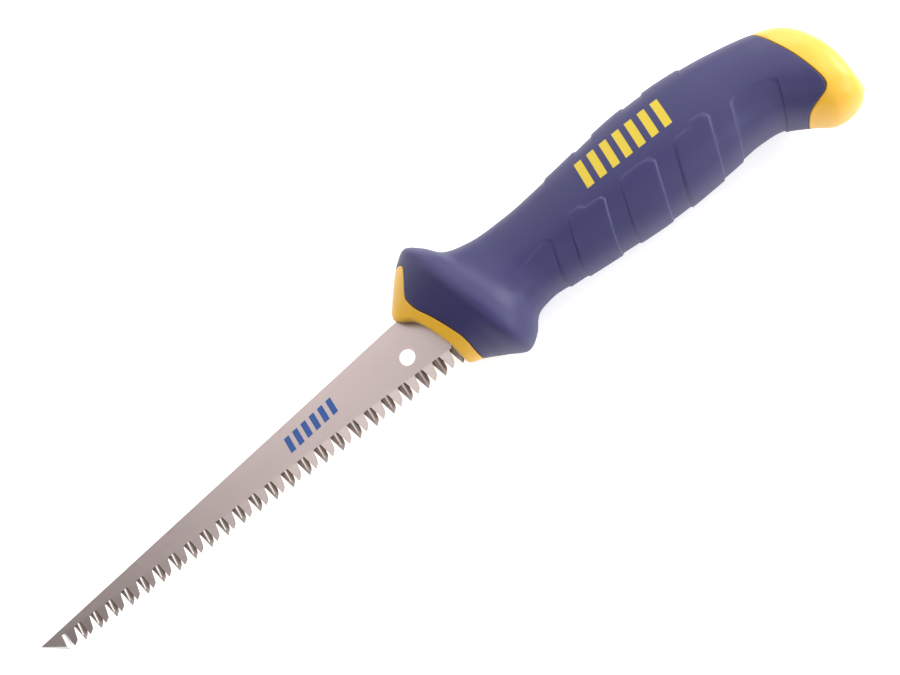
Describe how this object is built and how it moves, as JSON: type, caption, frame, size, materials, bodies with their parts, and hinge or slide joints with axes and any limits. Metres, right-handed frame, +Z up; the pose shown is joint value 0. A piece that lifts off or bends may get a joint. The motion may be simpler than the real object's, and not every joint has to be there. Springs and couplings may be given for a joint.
{
  "type": "drywall jab saw",
  "caption": "Fixed-blade jab saw for plasterboard: a tapered steel blade with large bevelled teeth in a two-material handle with a finger guard and a hooked butt.",
  "frame": {"origin": "centre of the saw's box in plan, at the surface it lies on, with the saw on its side", "axes": "+X from the blade's point to the butt along the tooth line, +Y from the teeth to the back of the blade, +Z up, square to the blade's flat"},
  "size_m": [0.2934, 0.047, 0.0338],
  "materials": {
    "blade_steel": "fine-ground bright steel, polished back edge",
    "hard_plastic": "warm yellow moulded plastic, semi-gloss",
    "soft_grip": "violet-blue soft thermoplastic rubber, satin"
  },
  "bodies": {
    "root": {"blade": "blade_steel", "handle_core": "hard_plastic", "grip": "soft_grip"}
  },
  "joints": []
}
